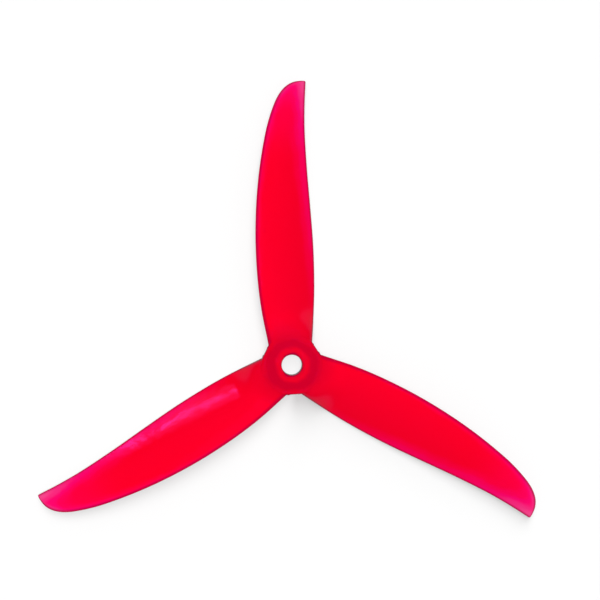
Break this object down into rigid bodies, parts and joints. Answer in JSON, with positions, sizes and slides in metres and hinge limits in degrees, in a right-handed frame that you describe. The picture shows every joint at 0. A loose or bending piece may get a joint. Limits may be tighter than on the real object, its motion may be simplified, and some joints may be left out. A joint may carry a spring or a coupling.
{
  "type": "propeller",
  "caption": "Moulded multirotor propeller: swept, twisted, cambered blades around a cored hub with a round bore for the motor shaft.",
  "frame": {"origin": "centre of the shaft bore in the plane of the motor seat, the hub's flat underside", "axes": "+Z along the shaft towards the nut seat, which is the side the picture shows; blade_1 along +Y; the propeller turns anticlockwise seen from +Z, so each blade's leading edge is on its anticlockwise side"},
  "size_m": [0.1221, 0.1075, 0.007],
  "materials": {
    "hub_plastic": "glossy translucent red polycarbonate, deep red where it is thick",
    "blade_plastic": "glossy translucent neon red polycarbonate, pinker where it is thin"
  },
  "bodies": {
    "root": {"hub": "hub_plastic", "blade_1": "blade_plastic", "blade_2": "blade_plastic", "blade_3": "blade_plastic"}
  },
  "joints": []
}
